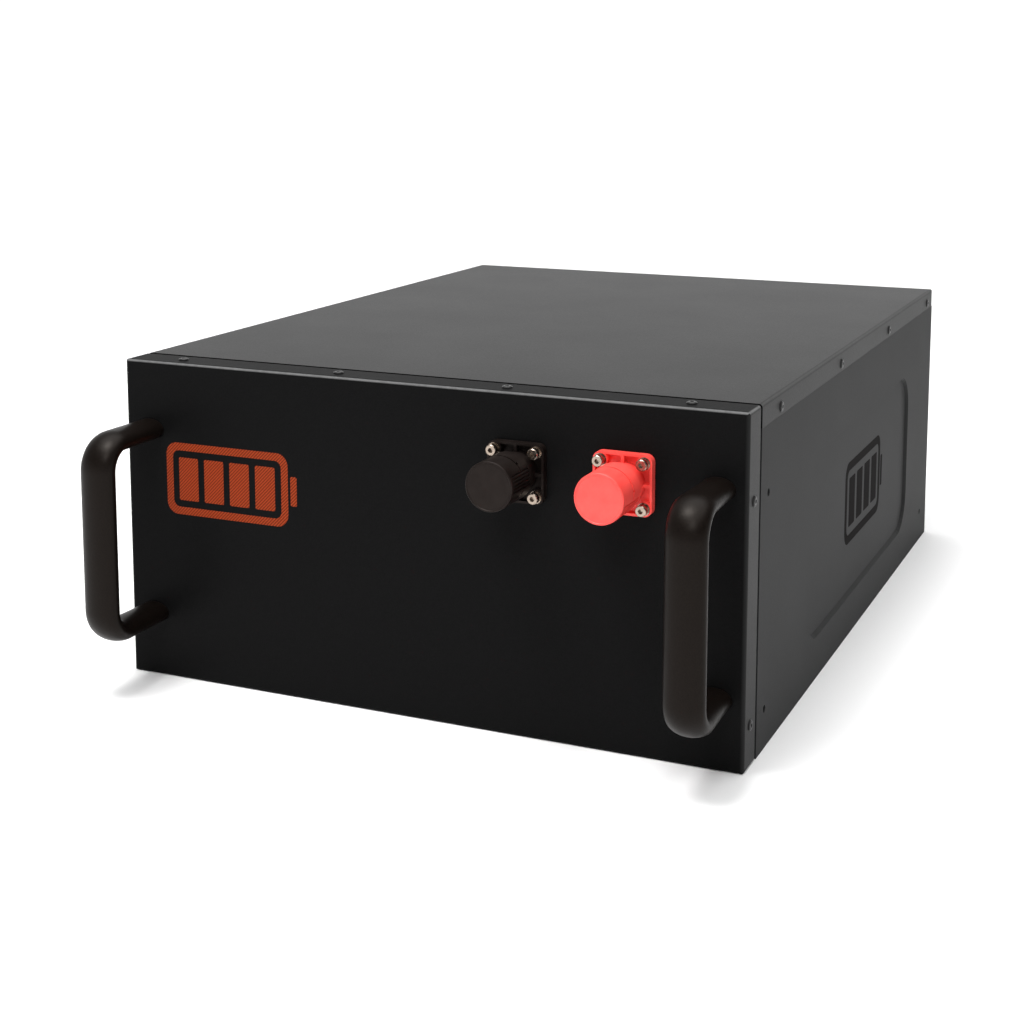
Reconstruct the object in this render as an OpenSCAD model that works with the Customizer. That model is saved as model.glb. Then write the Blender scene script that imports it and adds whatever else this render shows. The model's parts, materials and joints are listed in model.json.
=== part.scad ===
// Rack-mount lithium battery, five rack units high: a folded steel case with two bow handles and two
// capped power terminals in front, and sixteen prismatic cells with their management board inside.
// Origin: middle of the underside of the case. +X is to the right, +Y to the back, +Z up.

/* [Case] */
// Width of the case
case_w = 442; // [438:1:446]
// Height of the case
case_h = 222; // [221:1:224]
// Depth of the case without its handles
case_d = 580; // [575:1:600]
// Thickness of the sheet steel
sheet_t = 1.5; // [1.2:0.1:1.8]
// Outside radius of the bends
bend_r = 2.4; // [2:0.1:3]
// Depth of the front panel's flanges
front_lip = 23.5; // [20:0.5:24]
// Open seam between the front panel and the sheets behind it
seam = 3.4; // [1:0.1:4]
// Height of the lid's flanges
lid_lip = 15; // [12:0.5:18]

/* [Side recess] */
// Length of the pressed recess in each side wall
recess_l = 339; // [300:1:350]
// Height of the recess
recess_h = 133; // [110:1:140]
// Distance of the recess behind the front face
recess_y = 145; // [120:1:160]
// Height of the recess's lower edge above the underside
recess_z = 30; // [25:1:40]
// Depth of the recess, which is also the width of its sloping edge
recess_depth = 2.4; // [1.5:0.1:3]
// Corner radius of the recess
recess_r = 30; // [20:1:40]

/* [Case screws] */
// Distance between the screws along the top front flange
front_screw_pitch = 121; // [110:1:125]
// Distance between the screws along each lid flange
lid_screw_pitch = 162; // [150:1:165]
// Distance of the first lid screw behind the front face
lid_screw_first = 69.6; // [60:0.1:75]
// Heights of the screws in each side flange of the front panel
side_screw_z = [27.2, 166];
// Radius of the low screw heads
low_head_r = 3.4; // [3:0.1:3.8]
// Height of the low screw heads
low_head_h = 1.1; // [0.9:0.1:2.2]

/* [Rack ear holes] */
// Heights of the two threaded ear holes at the front of each side wall
ear_z = [26, 164];
// Distance of the front ear holes behind the front face
ear_y = 44; // [40:1:50]
// Distance of the rear support hole behind the front face
rear_hole_y = 550.6; // [540:0.1:555]
// Radius of the threaded holes in the side walls
ear_hole_r = 2.5; // [1.5:0.1:3]

/* [Handles] */
// Distance of each handle from the middle of the case
handle_x = 202.1; // [195:0.1:203]
// Height of the lower leg's centre line
handle_z = 45; // [40:0.5:60]
// Distance between the two legs' centre lines
handle_span = 129.5; // [110:0.5:135]
// Distance of the grip's centre line in front of the panel
handle_reach = 58; // [50:0.5:62]
// Radius of the bends along the centre line
handle_bend = 18; // [15:1:24]
// Width of the oval section at the panel
handle_leg_w = 22.5; // [18:0.5:24]
// Width of the oval section at the grip
handle_grip_w = 25.8; // [22:0.1:27]
// Thickness of the oval section
handle_t = 14.5; // [12:0.5:16]

/* [Terminals] */
// Sideways place of the black and the red terminal
terminal_x = [73.8, 144.1];
// Height of both terminals' centre lines
terminal_z = 172.7; // [165:0.1:175]
// Width of the square flange
flange_w = 38; // [37:0.5:40]
// Thickness of the square flange
flange_t = 5.5; // [5:0.1:6]
// Distance between the flange's screws
flange_pitch = 28; // [27.6:0.1:28.4]
// Outside radius of the caps
cap_r = 15.6; // [15.3:0.1:15.7]
// Distance of the caps' end faces from the front panel
cap_end = 45; // [42:0.5:48]
// Turn of the black cap and of the red cap about their centre lines
cap_turn = [48, 8];
// Radius of the M8 terminal thread
terminal_thread_r = 4; // [3.4:0.1:4]

/* [Cells] */
// Width of a cell
cell_w = 173.7; // [173:0.1:174]
// Thickness of a cell
cell_t = 53.9; // [53:0.1:54]
// Height of a cell's can
cell_h = 203; // [200:0.5:204]
// Thickness of the insulating sheet between neighbouring cells
cell_gap = 0.5; // [0.3:0.1:0.8]
// Cells in each of the two rows
row_cells = 8;

/* [Hidden] */
$fn = 48;
fine = 96;
eps = 0.01;
over = 1;
fit = 0.1;
loose = 0.25;
snug = 0.05;
slack = 2;
through = 5;

UP = [0, 0, 0];
TO_RIGHT = [0, 90, 0];
TO_LEFT = [0, -90, 0];
TO_FRONT = [90, 0, 0];
TO_REAR = [-90, 0, 0];

half_w = case_w / 2;
front_y = -case_d / 2;
rear_y = case_d / 2;
inset = sheet_t + fit;
lid_z = case_h - lid_lip;
front_lip_y = front_y + front_lip;
body_y = front_lip_y + seam;
wall_top = lid_z - fit;
lip_top = case_h - sheet_t - slack;
stack_t = 2 * sheet_t + fit;

screw_r = 2;
screw_len = 7;
screw_hole_r = screw_r + loose;
nut_bore_r = screw_r + snug;
low_head_side = 0.5;
low_head_top = 0.72;
socket_r = 1.5;
socket_depth = 0.8;
clinch_r = 3.6;
clinch_h = 2.5;

lip_screw_y = front_y + 12.4;
lid_screw_z = case_h - 9.5;
rear_lid_screw_x = [-162, 0, 162];
rear_flange_w = 14;
rear_screw_x = half_w - 9;
rear_screw_z = [30, 104, 178];

FRONT_TOP = [for (k = [-1.5 : 1.5]) [[k * front_screw_pitch, lip_screw_y, case_h], UP]];
FRONT_SIDE = concat(
    [for (z = side_screw_z) [[half_w, lip_screw_y, z], TO_RIGHT]],
    [for (z = side_screw_z) [[-half_w, lip_screw_y, z], TO_LEFT]]);
LID_SIDE = concat(
    [for (k = [0 : 3]) [[half_w, front_y + lid_screw_first + k * lid_screw_pitch, lid_screw_z], TO_RIGHT]],
    [for (k = [0 : 3]) [[-half_w, front_y + lid_screw_first + k * lid_screw_pitch, lid_screw_z], TO_LEFT]]);
LID_REAR = [for (x = rear_lid_screw_x) [[x, rear_y, lid_screw_z], TO_REAR]];
REAR = [for (x = [-rear_screw_x, rear_screw_x], z = rear_screw_z) [[x, rear_y, z], TO_REAR]];
EARS = concat(
    [for (z = ear_z) [[half_w, front_y + ear_y, z], TO_RIGHT]],
    [for (z = ear_z) [[-half_w, front_y + ear_y, z], TO_LEFT]],
    [[[half_w, front_y + rear_hole_y, ear_z[0]], TO_RIGHT]],
    [[[-half_w, front_y + rear_hole_y, ear_z[0]], TO_LEFT]]);

rail_x = half_w - inset - sheet_t - fit;
rail_top = case_h - sheet_t - fit;
rail_front = front_y + sheet_t + slack;
rail_behind_seam = 20;
rail_rear = body_y + rail_behind_seam;
rail_leg = 15;

handle_sides = 40;
handle_leg_steps = 3;
handle_turn_steps = 10;
handle_grip_steps = 6;
handle_screw_r = 3;
handle_bore = 20;
handle_head = [5, 4];
handle_socket = [2.5, 2.5];
handle_washer_r = 7;
handle_washer_t = 1.6;

collar_r = 13.2;
collar_end = 15;
spigot_r = 12.6;
spigot_end = 24;
well_r = 11.4;
well_floor = 14;
hole_r = 12.1;
rear_spigot_r = 11.9;
rear_spigot = 6;
post_r = 8;
post_front = 19;
post_rear = -22;
post_flange_r = 11;
post_flange_t = 3;
thread_depth = 18;
rear_thread_depth = 14;
cap_mouth = 15.5;
cap_bore_r = 13.8;
cap_wall = 2.2;
cap_round = 0.8;
cap_round_steps = 4;
face_rim = 1.1;
face_depth = 0.3;
flute_sides = [-40, 140];
flute_span = 36;
flute_n = 6;
flute_r = 0.8;
flute_off = 0.1;
flute_margin = 2.5;
flute_l = 24;
liner_r = cap_bore_r - fit;
liner_bore_r = spigot_r + loose;
liner_mouth = 16;
liner_end = 40;
liner_wall = 1.5;
ring_z = 27.3;
ring_groove = [1.2, 0.7];
window_w = 1.8;
window_l = 3.2;

flat_washer = [4.0, 0.8];
spring_washer = [3.6, 1.1];
split_w = 0.6;
split_turn = [35, 0, 60];
cap_head = [3.5, 4];
head_edge = 0.4;
head_socket = [1.75, 2.4];
screw_reach = 5;
boss_rise = 0.4;
boss_z = flange_t + boss_rise;
m4_nut = [7, 3.2];
m6_nut = [10, 5];
m8_head = [13, 5.3];

row_x = cell_w / 2 + 1;
base_sheet_t = 2;
cell_z = sheet_t + fit + base_sheet_t;
cell_top = cell_z + cell_h;
cell_pitch = cell_t + cell_gap;
plate_t = 8;
pack_gap = 28;
pack_rear = rear_y - pack_gap;
pack_front = pack_rear - row_cells * cell_t - (row_cells - 1) * cell_gap;
stud_x = 61.25;
stud_r = 3;
pad_r = 9;
pad_h = 2;
stud_h = 9.6;
bar_t = 2;
bar_w = 20;
bar_z = cell_top + pad_h;
plate_top = 196;
rod_off = 6.5;
rod_x = row_x + cell_w / 2 + rod_off;
plate_edge = 9;
rod_end = 7;
rod_z = [50, 150];
rod_r = 3;
cover_rise = 11.2;
cover_z = cell_top + cover_rise;
cover_t = 0.8;
sheet_drop = 4;
base_margin = 4;
cell_washer = [6.8, 1.2];
cell_nut_h = 4;
sense_x = 28;
sense_w = 16;

board_gap = 22;
board_y = pack_front - plate_t - board_gap;
board_x = 130;
board_z = [35, 185];
board_t = 1.6;
board_rise = 10;
bracket_y = board_y + board_rise;
post_inset = [8, 6];
board_post_r = 3;
chip_n = 13;
chip_pitch = 17;
chip_w = 10;
chip_h = 5;
chip_margin = 10;
sink_x = 120;
sink_z = [42, 112];
sink_t = 4;
fin_n = 9;
fin_l = 14;
fin_t = 2;

cable_r = 4.5;
barrel_r = 5.5;
tongue_w = 20;
tongue_l = 17;
barrel_l = 14;
lug_t = 2;
barrel_rise = 1.4;
crimp_start = 6;
load_tab = [-56, 165];
negative_tab = [-100, 162];
cable_steps = 3;
cable_sides = 12;

positive_route = [
    [108, -264, 172.7], [97, -262, 175], [84, -250, 181], [69, -232, 191], [52, -212, 202],
    [36, -196, 209], [28, -186, 212], [26.6, -178, 212]];
load_route = [
    [38, -264, 172.7], [28, -262, 172], [18, -250, 170], [6, -230, 167], [-6, -216, 165],
    [-14, -210, 165], [-22, -209, 165]];
negative_route = [
    [-26.6, -178, 212], [-28, -186, 212], [-37, -198, 212], [-58, -208, 212], [-80, -213, 212],
    [-94, -212, 208], [-99.5, -210, 202], [-100, -208.7, 195]];

cell_names = [for (i = [1 : 2 * row_cells]) str("cell_", i)];

case_black = [0.11, 0.11, 0.115];
part_black = [0.09, 0.085, 0.085];
part_red = [0.92, 0.22, 0.2];
nickel = [0.75, 0.73, 0.7];
copper = [0.78, 0.45, 0.3];
aluminium = [0.7, 0.71, 0.72];
cell_blue = [0.16, 0.3, 0.6];
sheet_green = [0.35, 0.55, 0.4];
board_green = [0.1, 0.35, 0.2];

// ---------- helpers ----------

module box(low, high) {
    translate(low) cube(high - low);
}

module at_each(stations) {
    for (s = stations) translate(s[0]) rotate(s[1]) children();
}

// A bar along local Z that passes the sheet at a screw's place.
module drill(r, reach) {
    translate([0, 0, -reach]) cylinder(r = r, h = 2 * reach);
}

// Rectangle whose corners on the +Y side, and on the -Y side if asked, are round.
module round_rect(w, d, r, both = true) {
    low = both ? r : 0;
    translate([-w / 2 + r, 0]) square([w - 2 * r, d]);
    translate([-w / 2, low]) square([w, d - r - low]);
    for (s = [-1, 1]) {
        translate([s * (w / 2 - r), d - r]) circle(r = r);
        if (both) translate([s * (w / 2 - r), r]) circle(r = r);
    }
}

// Folded pan that is open at its back: w wide, h high, d deep, with every outer edge bent round.
module pan_block(w, d, h, r) {
    intersection() {
        translate([0, d, 0]) rotate([90, 0, 0]) linear_extrude(d) round_rect(w, h, r);
        translate([0, d, 0]) mirror([0, 1, 0]) linear_extrude(h) round_rect(w, d, r, false);
        translate([-w / 2, d, h / 2]) rotate([90, 0, 90])
            linear_extrude(w) rotate([0, 0, 90]) round_rect(h, d, r, false);
    }
}

module ring(r_out, r_in, h) {
    difference() {
        cylinder(r = r_out, h = h);
        translate([0, 0, -over]) cylinder(r = r_in, h = h + 2 * over);
    }
}

module hex_nut(width, bore_r, h) {
    difference() {
        cylinder(d = width / cos(30), h = h, $fn = 6);
        translate([0, 0, -over]) cylinder(r = bore_r, h = h + 2 * over);
    }
}

// Low button screw with a hexagon socket. Its head sits on the plane z = 0.
module low_screw() {
    side_h = low_head_side * low_head_h;
    difference() {
        union() {
            cylinder(r = low_head_r, h = side_h);
            translate([0, 0, side_h])
                cylinder(r1 = low_head_r, r2 = low_head_top * low_head_r, h = low_head_h - side_h);
            translate([0, 0, -screw_len]) cylinder(r = screw_r, h = screw_len + eps);
        }
        translate([0, 0, low_head_h - socket_depth]) cylinder(r = socket_r, h = socket_depth + over, $fn = 6);
    }
}

module low_screws(stations) {
    color(part_black) at_each(stations) low_screw();
}

// Solid tube along a list of points, with its rings square to the path.
function unit(v) = v / norm(v);
function tangent(p, i) = unit(p[min(i + 1, len(p) - 1)] - p[max(i - 1, 0)]);
function side_axis(t) = unit(cross(t, abs(t[2]) < 0.9 ? [0, 0, 1] : [0, 1, 0]));
function next_axis(old, t) = unit(old - (old * t) * t);
function axes(p, i) = i == 0 ? side_axis(tangent(p, 0)) : next_axis(axes(p, i - 1), tangent(p, i));
function blend_at(a, b, c, d, u) =
    0.5 * ((2 * b) + (c - a) * u + (2 * a - 5 * b + 4 * c - d) * u * u + (3 * b - a - 3 * c + d) * u * u * u);
function smooth_path(p, n) = concat(
    [for (i = [0 : len(p) - 2], k = [0 : n - 1])
        blend_at(p[max(i - 1, 0)], p[i], p[i + 1], p[min(i + 2, len(p) - 1)], k / n)],
    [p[len(p) - 1]]);
function tube_faces(rings, sides) = concat(
    [[for (j = [0 : sides - 1]) j]],
    [for (i = [0 : rings - 2], j = [0 : sides - 1])
        let (k = (j + 1) % sides)
        [i * sides + j, (i + 1) * sides + j, (i + 1) * sides + k, i * sides + k]],
    [[for (j = [sides - 1 : -1 : 0]) (rings - 1) * sides + j]]);

module tube(path, r, sides) {
    points = [for (i = [0 : len(path) - 1])
        let (t = tangent(path, i), u = axes(path, i), v = cross(t, u))
        for (j = [0 : sides - 1])
            path[i] + r * cos(360 * j / sides) * u + r * sin(360 * j / sides) * v];
    polyhedron(points, tube_faces(len(path), sides), convexity = 6);
}

// ---------- case ----------

// The room inside the case's walls, grown outwards by t.
module case_room(t) {
    open = 4 * case_h;
    box([-half_w + sheet_t - t, body_y + sheet_t - t, sheet_t - t],
        [half_w - sheet_t + t, rear_y + open, wall_top - sheet_t + t]);
    box([-half_w + inset + sheet_t - t, front_y - open, inset + sheet_t - t],
        [half_w - inset - sheet_t + t, rear_y + open, case_h + open]);
}

// Block with sloping sides and round corners for the pressed recess, its large face on x = 0.
module recess_block(depth, grow) {
    r = recess_r + grow;
    hull()
        for (y = [recess_r, recess_l - recess_r], z = [recess_r, recess_h - recess_r])
            translate([0, y, z]) rotate([0, -90, 0]) cylinder(r1 = r, r2 = r - depth, h = depth, $fn = 32);
}

module recess_at(side, depth, grow, x) {
    translate([side * x, front_y + recess_y, recess_z])
        mirror([side > 0 ? 0 : 1, 0, 0]) recess_block(depth, grow);
}

module chassis() {
    rear_face = rear_y - inset;
    color(case_black) difference() {
        union() {
            difference() {
                intersection() {
                    case_room(sheet_t);
                    box([-half_w, front_y + inset, 0], [half_w, rear_face, lip_top]);
                }
                case_room(0);
            }
            for (s = [-1, 1]) {
                recess_at(s, recess_depth, sheet_t, half_w - sheet_t + eps);
                translate([s * (half_w - sheet_t - rear_flange_w / 2), 0, 0])
                    box([-rear_flange_w / 2 - eps, rear_face - sheet_t, sheet_t],
                        [rear_flange_w / 2 + eps, rear_face, wall_top - 2 * sheet_t]);
            }
        }
        for (s = [-1, 1])
            recess_at(s, recess_depth + eps, eps, half_w + eps);
        at_each(concat(FRONT_SIDE, LID_SIDE, REAR)) drill(screw_hole_r, through);
        at_each(EARS) drill(ear_hole_r, through);
    }
}

module front_panel() {
    color(case_black) difference() {
        translate([0, front_y, 0]) pan_block(case_w, front_lip, case_h, bend_r);
        box([-half_w + sheet_t, front_y + sheet_t, sheet_t],
            [half_w - sheet_t, front_y + 2 * front_lip, case_h - sheet_t]);
        at_each(concat(FRONT_TOP, FRONT_SIDE)) drill(screw_hole_r, through);
        for (x = terminal_x)
            at_terminal(x) {
                drill(hole_r, through);
                at_flange_screws() drill(screw_hole_r, through);
            }
        at_handle_legs() drill(handle_screw_r + loose, through);
    }
}

module rear_panel() {
    color(case_black) difference() {
        union() {
            box([-half_w, rear_y - sheet_t, 0], [half_w, rear_y, wall_top]);
            box([-rail_x, rear_y - inset - sheet_t, wall_top - sheet_t],
                [rail_x, rear_y - inset + eps, lip_top]);
            box([-rail_x, rear_y - inset - eps, wall_top - sheet_t],
                [rail_x, rear_y - sheet_t + eps, wall_top]);
        }
        at_each(concat(REAR, LID_REAR)) drill(screw_hole_r, through);
    }
}

module lid() {
    depth = rear_y - body_y;
    color(case_black) difference() {
        intersection() {
            translate([0, rear_y, lid_z - bend_r]) mirror([0, 1, 0])
                pan_block(case_w, depth, lid_lip + bend_r, bend_r);
            box([-case_w, front_y, lid_z], [case_w, rear_y + over, case_h]);
        }
        box([-half_w + sheet_t, body_y - over, 0], [half_w - sheet_t, rear_y - sheet_t, case_h - sheet_t]);
        at_each(concat(LID_SIDE, LID_REAR)) drill(screw_hole_r, through);
    }
}

// Cross rail under the top seam, which the front panel's top flange is screwed to.
module front_rail() {
    color(case_black) difference() {
        box([-rail_x, rail_front, rail_top - rail_leg], [rail_x, rail_rear, rail_top]);
        box([-half_w, rail_front + sheet_t, 0], [half_w, rail_rear - sheet_t, rail_top - sheet_t]);
        at_each(FRONT_TOP) drill(screw_hole_r, through);
    }
}

module clinch_nuts() {
    color(nickel) {
        at_each(concat(FRONT_TOP, FRONT_SIDE, LID_SIDE, LID_REAR, REAR))
            translate([0, 0, -stack_t - fit - clinch_h]) ring(clinch_r, nut_bore_r, clinch_h);
        at_each(EARS)
            translate([0, 0, -sheet_t - clinch_h]) ring(clinch_r, ear_hole_r, clinch_h);
    }
}

// ---------- handles ----------

module at_handle_legs() {
    for (s = [-1, 1], z = [handle_z, handle_z + handle_span])
        translate([s * handle_x, front_y, z]) rotate(TO_FRONT) children();
}

// Centre line of a handle as [distance from the panel, height, direction of travel].
function handle_line() = let (
        top = handle_z + handle_span,
        near = handle_reach - handle_bend,
        straight = handle_span - 2 * handle_bend,
        legs = handle_leg_steps,
        turns = handle_turn_steps,
        grips = handle_grip_steps)
    concat(
        [for (k = [0 : legs - 1]) [near * k / legs, top, 0]],
        [for (k = [0 : turns]) let (a = 90 * k / turns)
            [near + handle_bend * sin(a), top - handle_bend * (1 - cos(a)), -a]],
        [for (k = [1 : grips - 1]) [handle_reach, top - handle_bend - straight * k / grips, -90]],
        [for (k = [0 : turns]) let (a = 90 * k / turns)
            [near + handle_bend * cos(a), handle_z + handle_bend * (1 - sin(a)), -90 - a]],
        [for (k = [legs - 1 : -1 : 0]) [near * k / legs, handle_z, -180]]);

module bow_handle(x) {
    line = handle_line();
    last = len(line) - 1;
    points = [for (p = line)
        let (swell = pow(sin(90 * min(1, p[0] / handle_reach)), 2),
             half = (handle_leg_w + (handle_grip_w - handle_leg_w) * swell) / 2)
        for (j = [0 : handle_sides - 1])
            let (q = 360 * j / handle_sides, n = handle_t / 2 * sin(q))
            [x + half * cos(q), front_y - p[0] + n * sin(p[2]), p[1] + n * cos(p[2])]];
    color(part_black) difference() {
        polyhedron(points, tube_faces(last + 1, handle_sides), convexity = 6);
        for (z = [handle_z, handle_z + handle_span])
            translate([x, front_y, z]) rotate(TO_FRONT) drill(handle_screw_r + snug, handle_bore);
    }
}

module handle_left() {
    bow_handle(-handle_x);
}

module handle_right() {
    bow_handle(handle_x);
}

module handle_washers() {
    color(nickel) at_handle_legs()
        translate([0, 0, -sheet_t - handle_washer_t])
            ring(handle_washer_r, handle_screw_r + loose, handle_washer_t);
}

module handle_screws() {
    head_top = -sheet_t - handle_washer_t;
    color(nickel) at_handle_legs() difference() {
        union() {
            translate([0, 0, head_top - handle_head[1]]) cylinder(r = handle_head[0], h = handle_head[1]);
            translate([0, 0, head_top - eps]) cylinder(r = handle_screw_r, h = -head_top + handle_bore - slack);
        }
        translate([0, 0, head_top - handle_head[1] - over])
            cylinder(r = handle_socket[0], h = handle_socket[1] + over, $fn = 6);
    }
}

// ---------- terminals ----------

// Local +Z points out of the front panel and local +Y points up.
module at_terminal(x) {
    translate([x, front_y, terminal_z]) rotate(TO_FRONT) children();
}

module at_flange_screws() {
    for (sx = [-1, 1], sy = [-1, 1])
        translate([sx * flange_pitch / 2, sy * flange_pitch / 2, 0]) children();
}

module all_flange_screws() {
    for (x = terminal_x) at_terminal(x) at_flange_screws() children();
}

module terminal_base(x) {
    rim = 1.5;
    rib = 2;
    floor_z = 1.4;
    corner = 5;
    boss_r = 4.6;
    root = 1;
    at_terminal(x) difference() {
        union() {
            translate([0, -flange_w / 2, 0]) linear_extrude(floor_z) round_rect(flange_w, flange_w, corner);
            linear_extrude(flange_t) difference() {
                translate([0, -flange_w / 2]) round_rect(flange_w, flange_w, corner);
                translate([0, -flange_w / 2 + rim])
                    round_rect(flange_w - 2 * rim, flange_w - 2 * rim, corner - rim);
            }
            intersection() {
                union() {
                    for (a = [0, 90]) rotate([0, 0, a])
                        translate([-flange_w / 2, -rib / 2, root]) cube([flange_w, rib, flange_t - root]);
                    at_flange_screws() translate([0, 0, root]) cylinder(r = boss_r, h = boss_z - root);
                }
                translate([0, -flange_w / 2 + rim / 2, 0]) linear_extrude(2 * flange_t)
                    round_rect(flange_w - rim, flange_w - rim, corner - rim / 2);
            }
            cylinder(r = collar_r, h = collar_end, $fn = fine);
            cylinder(r = spigot_r, h = spigot_end, $fn = fine);
            translate([0, 0, -rear_spigot]) cylinder(r = rear_spigot_r, h = rear_spigot + root, $fn = fine);
        }
        drill(post_r + snug, 3 * spigot_end);
        translate([0, 0, well_floor]) cylinder(r = well_r, h = spigot_end, $fn = fine);
        at_flange_screws() drill(screw_hole_r, 2 * flange_t);
    }
}

module terminal_post(x) {
    color(copper) at_terminal(x) difference() {
        union() {
            translate([0, 0, post_rear]) cylinder(r = post_r, h = post_front - post_rear);
            translate([0, 0, -rear_spigot - fit - post_flange_t]) cylinder(r = post_flange_r, h = post_flange_t);
        }
        translate([0, 0, post_front - thread_depth]) cylinder(r = terminal_thread_r, h = 2 * thread_depth);
        translate([0, 0, post_rear - over]) cylinder(r = terminal_thread_r, h = rear_thread_depth + over);
    }
}

// Sleeve that clips on the base's spigot and stays still while the cap turns round it.
module cap_liner(x) {
    at_terminal(x) difference() {
        translate([0, 0, liner_mouth]) cylinder(r = liner_r, h = liner_end - liner_mouth, $fn = fine);
        translate([0, 0, liner_mouth - over])
            cylinder(r = liner_bore_r, h = liner_end - liner_wall - liner_mouth + over, $fn = fine);
    }
}

module cap_shell(x, turn) {
    face_r = cap_r - face_rim;
    outline = concat(
        [[cap_bore_r, cap_mouth], [cap_r, cap_mouth]],
        [for (k = [0 : cap_round_steps]) let (a = 90 * k / cap_round_steps)
            [cap_r - cap_round * (1 - cos(a)), cap_end - cap_round * (1 - sin(a))]],
        [[face_r, cap_end], [face_r - face_depth, cap_end - face_depth], [0, cap_end - face_depth],
         [0, cap_end - cap_wall], [cap_bore_r, cap_end - cap_wall]]);
    at_terminal(x) rotate([0, 0, turn]) difference() {
        rotate_extrude($fn = fine) polygon(outline);
        for (side = flute_sides, k = [0 : flute_n - 1])
            rotate([0, 0, side + (k / (flute_n - 1) - 0.5) * flute_span])
                translate([cap_r + flute_off, 0, cap_mouth + flute_margin])
                    cylinder(r = flute_r, h = flute_l, $fn = 16);
        translate([0, 0, ring_z]) difference() {
            cylinder(r = cap_r + over, h = ring_groove[0], $fn = fine);
            translate([0, 0, -over])
                cylinder(r = cap_r - ring_groove[1], h = ring_groove[0] + 2 * over, $fn = fine);
            for (side = flute_sides) rotate([0, 0, side - flute_span / 2])
                rotate_extrude(angle = flute_span)
                    translate([cap_bore_r, -over]) square([cap_r - cap_bore_r + 2 * over, ring_groove[0] + 2 * over]);
        }
        translate([cap_bore_r - over, -window_w / 2, ring_z + ring_groove[0] - window_l])
            cube([cap_r - cap_bore_r + 2 * over, window_w, window_l]);
    }
}

module black_terminal_base() {
    color(part_black) terminal_base(terminal_x[0]);
}

module red_terminal_base() {
    color(part_red) terminal_base(terminal_x[1]);
}

module black_terminal_post() {
    terminal_post(terminal_x[0]);
}

module red_terminal_post() {
    terminal_post(terminal_x[1]);
}

module black_cap_liner() {
    color(part_black) cap_liner(terminal_x[0]);
}

module red_cap_liner() {
    color(part_red) cap_liner(terminal_x[1]);
}

module black_cap() {
    color(part_black) cap_shell(terminal_x[0], cap_turn[0]);
}

module red_cap() {
    color(part_red) cap_shell(terminal_x[1], cap_turn[1]);
}

module terminal_flat_washers() {
    color(nickel) all_flange_screws()
        translate([0, 0, boss_z]) ring(flat_washer[0], screw_hole_r, flat_washer[1]);
}

module terminal_spring_washers() {
    color(nickel) all_flange_screws()
        translate([0, 0, boss_z + flat_washer[1]]) difference() {
            ring(spring_washer[0], screw_hole_r, spring_washer[1]);
            rotate(split_turn) translate([0, -split_w / 2, -through]) cube([through, split_w, 2 * through]);
        }
}

module terminal_screws() {
    head_z = boss_z + flat_washer[1] + spring_washer[1];
    color(nickel) all_flange_screws() difference() {
        union() {
            translate([0, 0, head_z]) cylinder(r = cap_head[0], h = cap_head[1] - head_edge);
            translate([0, 0, head_z + cap_head[1] - head_edge])
                cylinder(r1 = cap_head[0], r2 = cap_head[0] - head_edge, h = head_edge);
            translate([0, 0, -sheet_t - screw_reach])
                cylinder(r = screw_r, h = head_z + sheet_t + screw_reach + eps);
        }
        translate([0, 0, head_z + cap_head[1] - head_socket[1]])
            cylinder(r = head_socket[0], h = cap_head[1], $fn = 6);
    }
}

module terminal_nuts() {
    color(nickel) all_flange_screws() translate([0, 0, -sheet_t - m4_nut[1]])
        hex_nut(m4_nut[0], nut_bore_r, m4_nut[1]);
}

module post_bolts() {
    seat = post_rear - lug_t;
    color(nickel) for (x = terminal_x) at_terminal(x) {
        translate([0, 0, seat - m8_head[1]]) cylinder(d = m8_head[0] / cos(30), h = m8_head[1], $fn = 6);
        translate([0, 0, seat - eps])
            cylinder(r = terminal_thread_r - snug, h = lug_t + rear_thread_depth - slack);
    }
}

// ---------- cells ----------

function cell_y(k) = pack_front + cell_t / 2 + k * cell_pitch;
function row_side(i) = i < row_cells ? -1 : 1;

module cell(i) {
    corner = 3;
    vent_r = 9;
    vent_depth = 0.4;
    color(cell_blue) translate([row_side(i) * row_x, cell_y(i % row_cells) - cell_t / 2, cell_z]) {
        difference() {
            linear_extrude(cell_h) round_rect(cell_w, cell_t, corner);
            translate([0, cell_t / 2, cell_h - vent_depth]) cylinder(r = vent_r, h = over);
        }
        for (s = [-1, 1]) translate([s * stud_x, cell_t / 2, cell_h - eps]) {
            cylinder(r = pad_r, h = pad_h + eps);
            cylinder(r = stud_r, h = stud_h);
        }
    }
}

module cell_sheets() {
    color(sheet_green) {
        for (s = [-1, 1], k = [1 : row_cells - 1])
            translate([s * row_x, cell_y(k) - cell_t / 2 - cell_gap / 2, 0])
                box([-cell_w / 2, -cell_gap / 2, cell_z], [cell_w / 2, cell_gap / 2, cell_top - sheet_drop]);
        box([cell_w / 2 - row_x, pack_front, cell_z], [row_x - cell_w / 2, pack_rear, cell_top - sheet_drop]);
    }
}

module base_sheet() {
    color(sheet_green)
        box([-row_x - cell_w / 2 - base_margin, pack_front, sheet_t + fit / 2],
            [row_x + cell_w / 2 + base_margin, pack_rear, cell_z]);
}

module end_plate(y) {
    half = rod_x + plate_edge;
    color(aluminium) difference() {
        box([-half, y, sheet_t + fit], [half, y + plate_t, plate_top]);
        for (s = [-1, 1], z = rod_z)
            translate([s * rod_x, y, z]) rotate(TO_FRONT) drill(rod_r + loose, 2 * plate_t);
    }
}

module front_end_plate() {
    end_plate(pack_front - plate_t);
}

module rear_end_plate() {
    end_plate(pack_rear);
}

module tie_rods() {
    reach = plate_t + rod_end;
    color(nickel) for (s = [-1, 1], z = rod_z)
        translate([s * rod_x, pack_rear + reach, z]) rotate(TO_FRONT)
            cylinder(r = rod_r, h = pack_rear - pack_front + 2 * reach);
}

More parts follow.
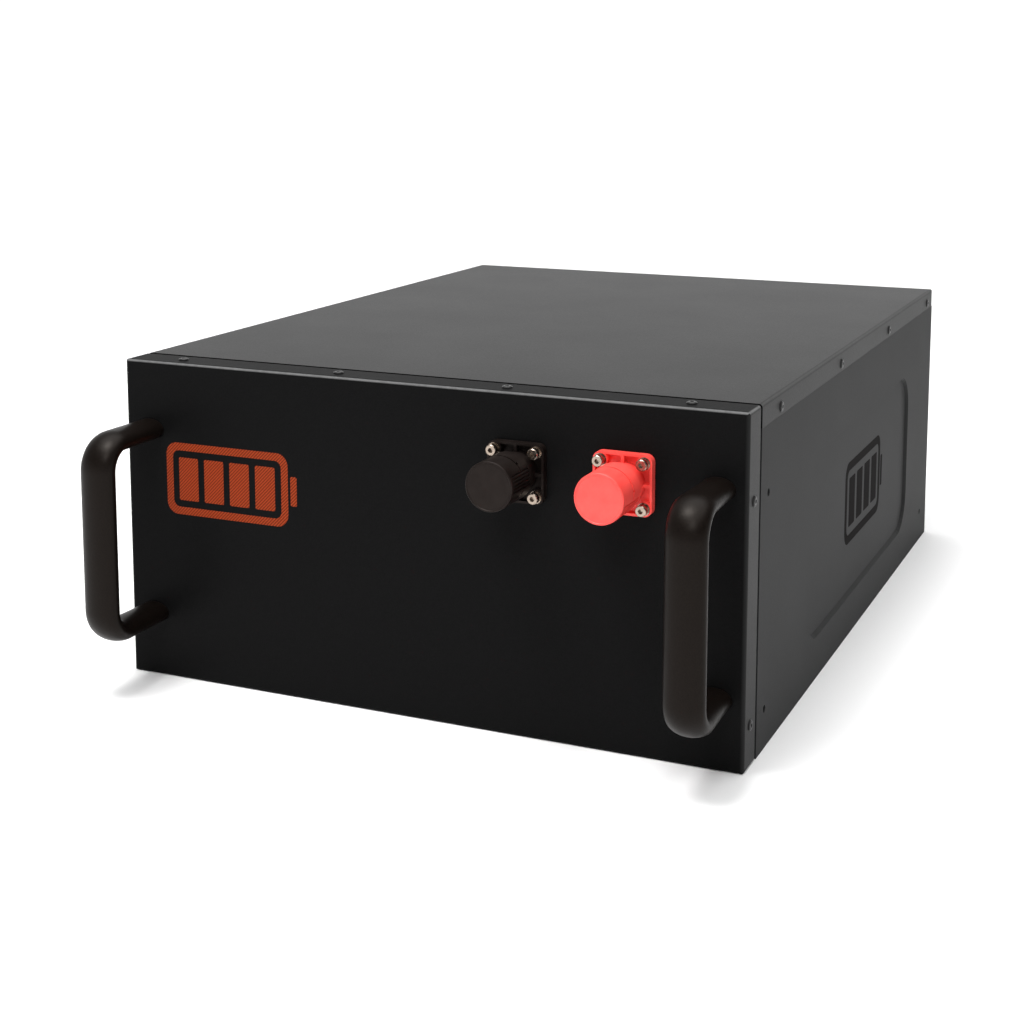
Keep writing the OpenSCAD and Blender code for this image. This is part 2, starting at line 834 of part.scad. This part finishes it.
module tie_rod_nuts() {
    color(nickel) for (s = [-1, 1], z = rod_z, y = [pack_front - plate_t, pack_rear + plate_t + m6_nut[1]])
        translate([s * rod_x, y, z]) rotate(TO_FRONT) hex_nut(m6_nut[0], rod_r + snug, m6_nut[1]);
}

function bar_side(k) = k % 2 == 0 ? 1 : -1;

module bar_2d(length) {
    for (s = [-1, 1]) translate([0, s * length / 2]) circle(d = bar_w);
    square([bar_w, length], center = true);
}

module busbars() {
    color(copper) {
        for (s = [-1, 1], k = [0 : row_cells - 2])
            translate([s * (row_x + bar_side(k) * stud_x), cell_y(k) + cell_pitch / 2, bar_z])
                linear_extrude(bar_t) difference() {
                    bar_2d(cell_pitch);
                    for (e = [-1, 1]) translate([0, e * cell_pitch / 2]) circle(r = stud_r + loose);
                }
        translate([0, cell_y(row_cells - 1), bar_z]) linear_extrude(bar_t) difference() {
            rotate([0, 0, 90]) bar_2d(2 * (row_x - stud_x));
            for (e = [-1, 1]) translate([e * (row_x - stud_x), 0]) circle(r = stud_r + loose);
        }
    }
}

module cell_nuts() {
    color(nickel) for (s = [-1, 1], e = [-1, 1], k = [0 : row_cells - 1])
        translate([s * row_x + e * stud_x, cell_y(k), bar_z + bar_t]) {
            ring(cell_washer[0], stud_r + snug, cell_washer[1]);
            translate([0, 0, cell_washer[1] - eps]) hex_nut(m6_nut[0], stud_r + snug, cell_nut_h);
        }
}

module cover_sheet() {
    color(sheet_green)
        box([-row_x - cell_w / 2, pack_front, cover_z], [row_x + cell_w / 2, pack_rear, cover_z + cover_t]);
}

module sense_boards() {
    color(sheet_green) for (s = [-1, 1])
        translate([s * (row_x + sense_x), 0, 0])
            box([-sense_w / 2, pack_front + sheet_drop, cell_top + fit],
                [sense_w / 2, pack_rear - sheet_drop, cell_top + board_t]);
}

// ---------- management board ----------

module board_bracket() {
    foot = pack_front - plate_t;
    color(aluminium) difference() {
        box([-board_x, bracket_y, board_z[0]], [board_x, foot, board_z[1]]);
        box([-board_x + sheet_t, bracket_y + sheet_t, 0], [board_x - sheet_t, foot + over, case_h]);
    }
}

module management_board() {
    color(board_green) {
        box([-board_x, board_y, board_z[0]], [board_x, board_y + board_t, board_z[1]]);
        for (s = [-1, 1], z = [board_z[0] + post_inset[1], board_z[1] - post_inset[1]])
            translate([s * (board_x - post_inset[0]), board_y + board_t - eps, z]) rotate(TO_REAR)
                cylinder(r = board_post_r, h = bracket_y - board_y - board_t + eps);
        for (k = [0 : chip_n - 1])
            translate([(k - (chip_n - 1) / 2) * chip_pitch, 0, 0])
                box([-chip_w / 2, board_y - chip_h, sink_z[0] + chip_margin],
                    [chip_w / 2, board_y + eps, sink_z[1] - chip_margin]);
    }
}

module board_heatsink() {
    base_y = board_y - chip_h - fit;
    fin_pitch = (sink_z[1] - sink_z[0] - fin_t) / (fin_n - 1);
    color(aluminium) {
        box([-sink_x, base_y - sink_t, sink_z[0]], [sink_x, base_y, sink_z[1]]);
        for (k = [0 : fin_n - 1])
            box([-sink_x, base_y - sink_t - fin_l, sink_z[0] + k * fin_pitch],
                [sink_x, base_y - sink_t + eps, sink_z[0] + k * fin_pitch + fin_t]);
    }
}

// ---------- power cables ----------

// Crimped lug: its tongue lies on z = 0 round the bolt, and its barrel points along local +X.
module lug(hole) {
    difference() {
        union() {
            cylinder(d = tongue_w, h = lug_t);
            translate([0, -tongue_w / 2, 0]) cube([tongue_l, tongue_w, lug_t]);
            translate([tongue_l - over, 0, lug_t + barrel_rise]) rotate([0, 90, 0])
                cylinder(r = barrel_r, h = barrel_l + over);
        }
        drill(hole, 3 * lug_t);
        translate([tongue_l + crimp_start, 0, lug_t + barrel_rise]) rotate([0, 90, 0])
            cylinder(r = cable_r + snug, h = barrel_l);
        translate([0, -tongue_w, -2 * barrel_r]) cube([2 * tongue_l + barrel_l, 2 * tongue_w, 2 * barrel_r]);
    }
}

module cable_lugs() {
    color(copper) {
        for (x = terminal_x)
            translate([x, front_y - post_rear, terminal_z]) rotate(TO_REAR) rotate([0, 0, 180])
                lug(terminal_thread_r + loose);
        for (s = [-1, 1])
            translate([s * (row_x - stud_x), cell_y(0), bar_z]) rotate([0, 0, -90]) lug(stud_r + loose);
        translate([load_tab[0], board_y, load_tab[1]]) rotate(TO_FRONT) lug(stud_r + loose);
        translate([negative_tab[0], board_y, negative_tab[1]]) rotate(TO_FRONT) rotate([0, 0, 90])
            lug(stud_r + loose);
    }
}

module cable(route) {
    tube(smooth_path(route, cable_steps), cable_r, cable_sides);
}

module positive_cable() {
    color(part_red) cable(positive_route);
}

module negative_cable() {
    color(part_black) cable(negative_route);
}

module load_cable() {
    color(part_black) cable(load_route);
}

chassis();
front_panel();
rear_panel();
lid();
front_rail();
handle_left();
handle_right();
low_screws(FRONT_TOP);  // front_top_screws
low_screws(FRONT_SIDE);  // front_side_screws
low_screws(concat(LID_SIDE, LID_REAR));  // lid_screws
low_screws(REAR);  // rear_screws
handle_screws();
handle_washers();
clinch_nuts();
black_terminal_base();
red_terminal_base();
black_terminal_post();
red_terminal_post();
black_cap_liner();
red_cap_liner();
black_cap();
red_cap();
terminal_screws();
terminal_spring_washers();
terminal_flat_washers();
terminal_nuts();
post_bolts();
cable_lugs();
positive_cable();
negative_cable();
load_cable();
for (i = [0 : 2 * row_cells - 1])
    cell(i);
cell_sheets();
base_sheet();
front_end_plate();
rear_end_plate();
tie_rods();
tie_rod_nuts();
busbars();
cell_nuts();
cover_sheet();
sense_boards();
management_board();
board_heatsink();
board_bracket();
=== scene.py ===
"""Rack-mount lithium battery: finishes, printed marks, camera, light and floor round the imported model.

Everything is in metres in the model's own frame: the origin is in the middle of the case's underside,
+X points right, +Y back and +Z up. The handles and the power terminals are at the front, facing -Y.
"""

import json
import math

import bmesh
import bpy
from mathutils import Matrix, Vector


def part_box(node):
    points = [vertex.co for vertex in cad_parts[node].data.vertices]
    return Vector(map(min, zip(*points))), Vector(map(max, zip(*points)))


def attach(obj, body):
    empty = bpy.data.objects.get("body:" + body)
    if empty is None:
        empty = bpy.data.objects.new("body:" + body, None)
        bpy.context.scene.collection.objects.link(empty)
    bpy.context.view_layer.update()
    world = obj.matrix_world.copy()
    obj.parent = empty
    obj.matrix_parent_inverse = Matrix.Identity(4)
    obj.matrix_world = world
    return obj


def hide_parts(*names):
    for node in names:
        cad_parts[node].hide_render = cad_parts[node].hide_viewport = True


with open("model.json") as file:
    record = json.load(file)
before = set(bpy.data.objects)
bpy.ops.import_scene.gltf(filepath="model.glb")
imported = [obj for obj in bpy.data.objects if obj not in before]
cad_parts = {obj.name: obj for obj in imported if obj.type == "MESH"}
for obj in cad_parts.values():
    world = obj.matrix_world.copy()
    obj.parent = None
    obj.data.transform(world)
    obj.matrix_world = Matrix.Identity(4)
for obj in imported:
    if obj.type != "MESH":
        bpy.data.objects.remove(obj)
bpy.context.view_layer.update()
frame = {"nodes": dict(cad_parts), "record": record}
NODES = frame["nodes"]
MM = 0.001

front_low, front_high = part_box("front_panel")
FRONT_Y = front_low.y
SIDE_X = front_high.x

# Nearly all values of a noise node lie between these
NOISE_LOW, NOISE_HIGH = 0.3, 0.7
# Lighter base colour painted on every side face of the case: painted light, the sides lit more than the front
# and back
LIT_SIDE_TONE = (0.02, 0.02, 0.0201)


# ---------- camera ----------

def make_camera():
    """Camera in front of the right corner, above the case, looking slightly down and to the left."""
    place = (0.4903, -1.2392, 0.4286)
    look_down, turn_left = 7.73, 23.92
    data = bpy.data.cameras.new("camera")
    data.lens = 60.13
    data.sensor_width = 36.0
    data.shift_y = -0.22
    data.clip_end = 50.0
    cam = bpy.data.objects.new("camera", data)
    cam.location = place
    cam.rotation_euler = (math.radians(90.0 - look_down), 0.0, math.radians(turn_left))
    bpy.context.scene.collection.objects.link(cam)
    bpy.context.scene.camera = cam


# ---------- materials ----------

class Shader:
    """A node material under construction, with short calls for the nodes used here."""

    def __init__(self, name, **fixed):
        self.material = bpy.data.materials.new(name)
        self.material.use_nodes = True
        self.nodes = self.material.node_tree.nodes
        self.links = self.material.node_tree.links
        self.bsdf = self.nodes["Principled BSDF"]
        for socket, value in fixed.items():
            self.bsdf.inputs[socket.replace("_", " ")].default_value = value
        self.place = self.nodes.new("ShaderNodeTexCoord").outputs["Object"]

    def link(self, source, node, socket):
        self.links.new(source, node.inputs[socket])

    def stretched(self, scale):
        """Object coordinates scaled by a different amount along each axis."""
        node = self.nodes.new("ShaderNodeMapping")
        node.inputs["Scale"].default_value = scale
        self.link(self.place, node, "Vector")
        return node.outputs["Vector"]

    def noise(self, size, detail=3.0, rough=0.55, source=None):
        """Noise whose features are about size metres wide."""
        node = self.nodes.new("ShaderNodeTexNoise")
        node.inputs["Scale"].default_value = 1.0 / size
        node.inputs["Detail"].default_value = detail
        node.inputs["Roughness"].default_value = rough
        self.link(source or self.place, node, "Vector")
        return node.outputs["Fac"]

    def span(self, source, low, high, from_low=0.0, from_high=1.0):
        """Source from from_low..from_high to low..high."""
        node = self.nodes.new("ShaderNodeMapRange")
        limits = {"From Min": from_low, "From Max": from_high, "To Min": low, "To Max": high}
        for socket, value in limits.items():
            node.inputs[socket].default_value = value
        self.link(source, node, "Value")
        return node.outputs["Result"]

    def spread(self, noise, low, high):
        """Noise spread over low..high."""
        return self.span(noise, low, high, NOISE_LOW, NOISE_HIGH)

    def mottle(self, noise, dark, light):
        """Colour that drifts between dark and light with the noise."""
        return self.mix(self.spread(noise, 0.0, 1.0), dark, light)

    def math(self, operation, a, b):
        node = self.nodes.new("ShaderNodeMath")
        node.operation = operation
        for index, value in enumerate((a, b)):
            if isinstance(value, (int, float)):
                node.inputs[index].default_value = value
            else:
                self.links.new(value, node.inputs[index])
        return node.outputs["Value"]

    def mix(self, amount, a, b):
        """Colour a where amount is 0 and b where it is 1."""
        node = self.nodes.new("ShaderNodeMix")
        node.data_type = "RGBA"
        for name, value in (("A", a), ("B", b)):
            socket = next(s for s in node.inputs if s.name == name and s.type == "RGBA")
            if isinstance(value, tuple):
                socket.default_value = (*value, 1.0)
            else:
                self.links.new(value, socket)
        self.links.new(amount, node.inputs["Factor"])
        return next(s for s in node.outputs if s.type == "RGBA")

    def facing(self):
        """Surface normal's X, Y and Z, the first two without their sign."""
        geometry = self.nodes.new("ShaderNodeNewGeometry")
        split = self.nodes.new("ShaderNodeSeparateXYZ")
        self.links.new(geometry.outputs["Normal"], split.inputs[0])
        x, y, z = (split.outputs[axis] for axis in "XYZ")
        return self.math("ABSOLUTE", x, 0.0), self.math("ABSOLUTE", y, 0.0), z

    def bump(self, height, distance, strength=1.0, after=None):
        node = self.nodes.new("ShaderNodeBump")
        node.inputs["Distance"].default_value = distance
        node.inputs["Strength"].default_value = strength
        self.link(height, node, "Height")
        if after:
            self.link(after, node, "Normal")
        return node.outputs["Normal"]

    def finish(self, color=None, roughness=None, normal=None):
        for socket, source in (("Base Color", color), ("Roughness", roughness), ("Normal", normal)):
            if source:
                self.link(source, self.bsdf, socket)
        return self.material


def powder_coat(name, dark, light, rough, specular, bends=None, side_gloss=1.0, top_gloss=1.0, side=None,
                tint=(1.0, 1.0, 1.0)):
    """Baked satin powder coat: fine orange peel and a slightly uneven film.

    With a colour for the bends, a painted highlight of that colour lies along the bends beside the top face,
    where the light from above catches them. The gloss on the side faces and on the top face is a multiple of
    the gloss elsewhere. With a colour for the side, the side faces have it as painted light.
    """
    bend_from, bend_full = 0.3, 0.6
    s = Shader(name, Specular_IOR_Level=specular, Specular_Tint=(*tint, 1.0))
    film = s.noise(70 * MM, 2.0)
    grain = s.noise(0.9 * MM, 2.0, 0.7)
    color = s.mottle(grain, dark, light)
    if bends:
        x, y, z = s.facing()
        # Painted light: faces whose normal points along X, the sides, take the lighter side colour
        if side:
            color = s.mix(x, color, side)
        # Painted highlight: bends that lean up towards the top face take the bends colour, a little uneven,
        # where the light from above catches them
        leaning = s.span(s.math("MAXIMUM", x, y), 0.0, 1.0, bend_from, bend_full)
        bent = s.math("MULTIPLY", leaning, s.span(z, 0.0, 1.0, bend_from, bend_full))
        painted_highlight = s.math("MULTIPLY", bent, s.spread(s.noise(4 * MM), 0.75, 1.0))
        color = s.mix(painted_highlight, color, bends)
        on_sides = s.span(x, specular, side_gloss * specular)
        gloss = s.math("ADD", on_sides, s.span(z, 0.0, (top_gloss - 1) * specular))
        s.link(gloss, s.bsdf, "Specular IOR Level")
    haze = s.spread(film, rough - 0.008, rough + 0.008)
    roughness = s.math("ADD", haze, s.spread(grain, -0.03, 0.03))
    peel = s.bump(s.noise(1.6 * MM, 2.0, 0.5), 0.10 * MM, 0.5)
    normal = s.bump(grain, 0.05 * MM, 0.5, peel)
    return s.finish(color, roughness, normal)


def moulded_nylon(name, dark, light, rough, specular, tint=(1.0, 1.0, 1.0)):
    """Injection-moulded nylon: eroded mould texture, faint flow marks and uneven gloss."""
    s = Shader(name, Specular_IOR_Level=specular, Specular_Tint=(*tint, 1.0))
    flow = s.noise(9 * MM, 3.0, 0.6, s.stretched((1.0, 0.35, 1.0)))
    grain = s.noise(0.35 * MM, 2.0, 0.6)
    color = s.mottle(flow, dark, light)
    roughness = s.math("ADD", s.spread(flow, rough - 0.05, rough + 0.05), s.spread(grain, -0.04, 0.04))
    return s.finish(color, roughness, s.bump(grain, 0.03 * MM, 0.6))


def plated_steel(name, dark, light, rough):
    """Bright plating over turned steel: fine scratches and a slightly cloudy shine."""
    s = Shader(name, Metallic=1.0)
    cloud = s.noise(2.5 * MM, 3.0)
    scratches = s.noise(0.3 * MM, 3.0, 0.7, s.stretched((1.0, 0.12, 1.0)))
    color = s.mottle(cloud, dark, light)
    roughness = s.math("ADD", s.spread(cloud, rough - 0.05, rough + 0.06), s.spread(scratches, -0.05, 0.05))
    return s.finish(color, roughness, s.bump(scratches, 0.01 * MM, 0.5))


def plain_metal(name, dark, light, rough, along):
    """Rolled metal with its grain along one axis."""
    s = Shader(name, Metallic=1.0)
    grain = s.noise(0.5 * MM, 4.0, 0.65, s.stretched(along))
    cloud = s.noise(25 * MM, 3.0)
    color = s.mottle(cloud, dark, light)
    roughness = s.math("ADD", s.spread(cloud, rough - 0.05, rough + 0.05), s.spread(grain, -0.08, 0.08))
    return s.finish(color, roughness, s.bump(grain, 0.02 * MM, 0.5))


def plastic_film(name, dark, light, rough, ripple):
    """Thin plastic film or sheet: soft ripples and a faint mottle."""
    s = Shader(name)
    cloud = s.noise(6 * MM, 4.0)
    color = s.mottle(cloud, dark, light)
    roughness = s.spread(cloud, rough - 0.06, rough + 0.06)
    fine = s.bump(s.noise(0.6 * MM, 2.0), 0.02 * MM, 0.5)
    return s.finish(color, roughness, s.bump(s.noise(ripple, 2.0), 0.15 * MM, 0.6, fine))


def cable_rubber(name, dark, light):
    """Soft cable insulation: dull, with a fine drawn texture."""
    s = Shader(name)
    grain = s.noise(0.5 * MM, 3.0, 0.6)
    color = s.mottle(s.noise(5 * MM), dark, light)
    return s.finish(color, s.spread(grain, 0.5, 0.68), s.bump(grain, 0.04 * MM, 0.6))


def circuit_board(name):
    """Green solder mask over copper tracks."""
    s = Shader(name)
    tracks = s.nodes.new("ShaderNodeTexBrick")
    tracks.inputs["Scale"].default_value = 90.0
    s.link(s.stretched((1.0, 0.0, 1.0)), tracks, "Vector")
    color = s.mix(s.span(tracks.outputs["Fac"], 0.0, 1.0), (0.02, 0.12, 0.05), (0.03, 0.2, 0.08))
    cloud = s.noise(3 * MM)
    return s.finish(color, s.spread(cloud, 0.3, 0.45), s.bump(tracks.outputs["Fac"], 0.03 * MM))


def printed_ink(name, dark, light, rough, specular, hatch=None):
    """Screen-printed ink: thin, slightly uneven, and hatched with diagonal lines if hatch is a pitch."""
    s = Shader(name, Specular_IOR_Level=specular)
    grain = s.noise(0.5 * MM, 3.0, 0.7)
    color = s.mottle(grain, dark, light)
    if hatch:
        lines = s.nodes.new("ShaderNodeTexWave")
        lines.bands_direction = "DIAGONAL"
        lines.inputs["Scale"].default_value = math.sqrt(2) * math.pi / (10 * hatch)
        s.link(s.stretched((1.0, 1.0, -1.0)), lines, "Vector")
        color = s.mix(s.span(lines.outputs["Fac"], 0.0, 0.7, 0.35, 0.65), color, tuple(0.2 * c for c in dark))
    return s.finish(color, s.spread(grain, rough - 0.06, rough + 0.06), s.bump(grain, 0.03 * MM, 0.5))


def make_materials():
    return {
        # The bends colours below are painted highlights on the upper bends, and the side colour is painted
        # light on the side faces
        "case_paint": powder_coat(
            "powder_coat", (0.002, 0.002, 0.0021), (0.0036, 0.0036, 0.0037), 0.38, 0.074,
            bends=(0.06, 0.06, 0.06), side_gloss=0.45, side=LIT_SIDE_TONE),
        # Chassis: the same powder coat made much lighter, painted light on the side walls it forms, matching
        # the side colour
        "wall_paint": powder_coat(
            "wall_powder_coat", (0.018, 0.018, 0.0182), (0.022, 0.022, 0.0222), 0.6, 0.087,
            bends=(0.03, 0.03, 0.03)),
        "front_paint": powder_coat(
            "front_powder_coat", (0.0042, 0.0042, 0.0043), (0.006, 0.006, 0.0061), 0.38, 0.024,
            bends=(0.13, 0.13, 0.13), side_gloss=1.55, top_gloss=0.3, side=LIT_SIDE_TONE),
        "handle_black": powder_coat(
            "handle_paint", (0.003, 0.002, 0.0016), (0.006, 0.0042, 0.0034), 0.36, 0.1,
            tint=(1.0, 0.9, 0.82)),
        "black_screws": powder_coat(
            "screw_paint", (0.014, 0.014, 0.014), (0.022, 0.022, 0.022), 0.32, 0.2),
        "nickel_steel": plated_steel("nickel_plate", (0.27, 0.22, 0.18), (0.4, 0.33, 0.27), 0.24),
        "black_nylon": moulded_nylon(
            "black_nylon", (0.006, 0.004, 0.0035), (0.011, 0.0082, 0.0072), 0.42, 0.13,
            tint=(1.0, 0.86, 0.8)),
        "red_nylon": moulded_nylon("red_nylon", (0.86, 0.06, 0.05), (0.93, 0.085, 0.07), 0.42, 0.4),
        "copper": plain_metal("copper", (0.7, 0.36, 0.22), (0.9, 0.5, 0.34), 0.28, (1.0, 1.0, 0.2)),
        "red_cable": cable_rubber("red_insulation", (0.42, 0.02, 0.016), (0.52, 0.03, 0.022)),
        "black_cable": cable_rubber("black_insulation", (0.012, 0.012, 0.012), (0.022, 0.022, 0.022)),
        "cell_can": plastic_film("blue_cell_wrap", (0.02, 0.09, 0.36), (0.03, 0.12, 0.44), 0.33, 22 * MM),
        "insulating_sheet": plastic_film(
            "glass_fibre_sheet", (0.22, 0.42, 0.28), (0.3, 0.52, 0.36), 0.5, 14 * MM),
        "plain_aluminium": plain_metal(
            "plain_aluminium", (0.62, 0.63, 0.64), (0.74, 0.75, 0.76), 0.34, (0.08, 1.0, 1.0)),
        "circuit_board": circuit_board("circuit_board"),
    }


def paint_nodes(materials):
    slots = {part["node"]: part["material_slot"] for part in frame["record"]["subparts"]}
    for name, node in NODES.items():
        node.data.materials.clear()
        node.data.materials.append(materials[slots[name]])
    NODES["front_panel"].data.materials[0] = materials["front_paint"]
    NODES["chassis"].data.materials[0] = materials["wall_paint"]


# ---------- handles ----------

def add_piece(name, bm, material, body="case", smooth=True):
    mesh = bpy.data.meshes.new(name)
    bmesh.ops.recalc_face_normals(bm, faces=bm.faces)
    bm.to_mesh(mesh)
    bm.free()
    mesh.materials.append(material)
    for face in mesh.polygons:
        face.use_smooth = smooth
    piece = bpy.data.objects.new(name, mesh)
    bpy.context.scene.collection.objects.link(piece)
    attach(piece, body)
    return piece


def handle_line(low, high, bend, thick):
    """Points (distance in front of the panel, height, direction) along a handle's centre line."""
    reach = FRONT_Y - low.y - thick / 2
    top, bottom = high.z - thick / 2, low.z + thick / 2
    turns, legs, grip = 24, 8, 24
    near = reach - bend
    line = [(near * k / legs, top, 0.0) for k in range(legs)]
    for k in range(turns + 1):
        a = math.pi / 2 * k / turns
        line.append((near + bend * math.sin(a), top - bend * (1 - math.cos(a)), -a))
    length = top - bottom - 2 * bend
    line += [(reach, top - bend - length * k / grip, -math.pi / 2) for k in range(1, grip)]
    for k in range(turns + 1):
        a = math.pi / 2 * k / turns
        line.append((near + bend * math.cos(a), bottom + bend * (1 - math.sin(a)), -math.pi / 2 - a))
    line += [(near * k / legs, bottom, -math.pi) for k in range(legs - 1, -1, -1)]
    return line, reach


def bow_handle(node, material):
    """Smooth bow of oval bar, swelling a little from its legs to its grip, bored for its two screws."""
    bend, leg_w, thick = 18 * MM, 22.5 * MM, 14.5 * MM
    bore_r, bore_depth, sides = 3.05 * MM, 20 * MM, 64
    sharp_angle = math.radians(50)
    low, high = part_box(node)
    middle, grip_w = (low.x + high.x) / 2, high.x - low.x
    line, reach = handle_line(low, high, bend, thick)
    bm = bmesh.new()

    def ring(distance, height, direction, half_w, half_t):
        found = []
        for j in range(sides):
            q = 2 * math.pi * j / sides
            n = half_t * math.sin(q)
            found.append(bm.verts.new((
                middle + half_w * math.cos(q),
                FRONT_Y - distance + n * math.sin(direction),
                height + n * math.cos(direction))))
        return found

    first, last = line[0], line[-1]
    rings = [ring(bore_depth, first[1], 0.0, bore_r, bore_r), ring(0.0, first[1], 0.0, bore_r, bore_r)]
    for distance, height, direction in line:
        swell = math.sin(math.pi / 2 * min(1.0, distance / reach)) ** 2
        rings.append(ring(distance, height, direction, (leg_w + (grip_w - leg_w) * swell) / 2, thick / 2))
    rings.append(ring(0.0, last[1], -math.pi, bore_r, bore_r))
    rings.append(ring(bore_depth, last[1], -math.pi, bore_r, bore_r))
    for a, b in zip(rings, rings[1:]):
        for j in range(sides):
            k = (j + 1) % sides
            bm.faces.new((a[j], b[j], b[k], a[k]))
    bm.faces.new(rings[0])
    bm.faces.new(rings[-1][::-1])
    piece = add_piece(node + "_bar", bm, material)
    piece.data.set_sharp_from_angle(angle=sharp_angle)
    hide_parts(node)


# ---------- printed marks ----------

def rounded_outline(width, height, radius, steps=8):
    """Points of a rectangle with round corners, centred on the origin."""
    points = []
    for k, (sx, sy) in enumerate(((1, 1), (-1, 1), (-1, -1), (1, -1))):
        for i in range(steps + 1):
            a = math.pi / 2 * (k + i / steps)
            points.append((
                sx * (width / 2 - radius) + radius * math.cos(a),
                sy * (height / 2 - radius) + radius * math.sin(a)))
    return points


def add_plate(bm, outer, thickness, place, inner=None):
    """Thin plate with the given outline, or a frame between two outlines with as many points each."""
    levels = []
    for outline in filter(None, (outer, inner)):
        levels.append([
            [bm.verts.new(place @ Vector((x, y, z))) for x, y in outline]
            for z in (0.0, thickness)])
    count = len(outer)
    for bottom, top in levels:
        for i in range(count):
            j = (i + 1) % count
            bm.faces.new((bottom[i], bottom[j], top[j], top[i]))
    for level in (0, 1):
        if inner:
            a, b = levels[0][level], levels[1][level]
            for i in range(count):
                j = (i + 1) % count
                bm.faces.new((a[i], a[j], b[j], b[i]))
        else:
            bm.faces.new(levels[0][level])


def battery_mark(name, place, material, width):
    """Plain battery symbol, a rounded frame with its nub and four charge bars, as a thin film of ink."""
    height, line, ink = 0.52 * width, 0.055 * width, 0.06 * MM
    bars, gap = 4, 0.05 * width
    bm = bmesh.new()
    add_plate(bm, rounded_outline(width, height, 0.09 * width), ink, place,
              rounded_outline(width - 2 * line, height - 2 * line, 0.09 * width - 0.7 * line))
    nub = place @ Matrix.Translation((width / 2 + 0.045 * width, 0, 0))
    add_plate(bm, rounded_outline(0.05 * width, 0.4 * height, 0.012 * width), ink, nub)
    room = width - 2 * line - gap
    bar_w = room / bars - gap
    for k in range(bars):
        x = -room / 2 + (k + 0.5) * room / bars
        add_plate(bm, rounded_outline(bar_w, height - 2 * line - 2 * gap, 0.012 * width), ink,
                  place @ Matrix.Translation((x, 0, 0)))
    return add_piece(name, bm, material, smooth=False)


def add_marks():
    orange = printed_ink("orange_ink", (0.24, 0.03, 0.008), (0.36, 0.05, 0.012), 0.5, 0.06, 1.6 * MM)
    gloss_black = printed_ink("black_ink", (0.006, 0.006, 0.006), (0.011, 0.009, 0.009), 0.6, 0.006)
    upright = Matrix.Rotation(math.pi / 2, 4, "X")
    front = Matrix.Translation((-0.141, FRONT_Y, 0.142)) @ upright
    battery_mark("front_mark", front, orange, 96 * MM)
    recess_depth = 2.4 * MM
    recess_x = SIDE_X - recess_depth
    for name, side in (("right_mark", 1), ("left_mark", -1)):
        turn = Matrix.Rotation(side * math.pi / 2, 4, "Z") @ upright
        place = Matrix.Translation((side * recess_x, 0.035, 0.1)) @ turn
        battery_mark(name, place, gloss_black, 120 * MM)


# ---------- light and floor ----------

def make_floor():
    s = Shader("floor", Specular_IOR_Level=0.2)
    color = s.mix(s.noise(0.4), (0.9, 0.9, 0.9), (0.93, 0.93, 0.93))
    s.finish(color, s.span(s.noise(0.05), 0.7, 0.8))
    bpy.ops.mesh.primitive_plane_add(size=30.0)
    floor = bpy.context.object
    floor.name = "floor"
    floor.data.materials.append(s.material)


def soft_light(name, place, target, size, power):
    """White square area light, size metres wide, aimed at the target."""
    data = bpy.data.lights.new(name, "AREA")
    data.shape = "SQUARE"
    data.size = size
    data.energy = power
    light = bpy.data.objects.new(name, data)
    light.location = place
    light.rotation_euler = (Vector(target) - Vector(place)).to_track_quat("-Z", "Y").to_euler()
    bpy.context.scene.collection.objects.link(light)


def make_light():
    """White surroundings that are brighter in some directions, and two soft lights in front."""
    world = bpy.data.worlds.new("world")
    world.use_nodes = True
    nodes, links = world.node_tree.nodes, world.node_tree.links
    background = nodes["Background"]
    background.inputs["Color"].default_value = (1.0, 1.0, 1.0, 1.0)
    place = nodes.new("ShaderNodeTexCoord")
    split = nodes.new("ShaderNodeSeparateXYZ")
    links.new(place.outputs["Generated"], split.inputs[0])

    def rise(axis, low, high, dark, bright):
        """Brightness that rises from dark to bright as the direction's coordinate goes from low to high."""
        node = nodes.new("ShaderNodeMapRange")
        node.interpolation_type = "SMOOTHSTEP"
        for socket, value in (("From Min", low), ("From Max", high), ("To Min", dark), ("To Max", bright)):
            node.inputs[socket].default_value = value
        links.new(split.outputs[axis], node.inputs["Value"])
        return node.outputs["Result"]

    def combine(operation, a, b):
        node = nodes.new("ShaderNodeMath")
        node.operation = operation
        links.new(a, node.inputs[0])
        links.new(b, node.inputs[1])
        return node.outputs["Value"]

    dim = 0.3
    # Bright low down behind and to the left, and dim in front, to the right and higher up
    walls = combine("MULTIPLY", rise("Y", -0.5, 0.4, dim, 1.12), rise("Z", 0.3, 0.6, 1.0, dim))
    walls = combine("MULTIPLY", walls, rise("X", -0.1, 0.25, 1.0, dim))
    # Pale all round the horizon, for a plain background from low angles
    horizon = rise("Z", 0.14, 0.22, 1.05, 0.0)
    overhead = rise("Z", 0.75, 0.9, 0.0, 3.0)
    total = combine("ADD", combine("MAXIMUM", walls, horizon), overhead)
    links.new(total, background.inputs["Strength"])
    bpy.context.scene.world = world
    soft_light("front_light", (0.5, -2.5, 2.3), (0, -0.2, 0.1), 0.9, 28.0)
    soft_light("bend_light", (-0.3, -0.8, 2.1), (0, -0.3, 0.15), 0.7, 32.0)


# ---------- scene ----------

make_camera()
materials = make_materials()
paint_nodes(materials)
for handle in ("handle_left", "handle_right"):
    bow_handle(handle, materials["handle_black"])
add_marks()
make_floor()
make_light()
bpy.context.scene.view_settings.view_transform = "Standard"
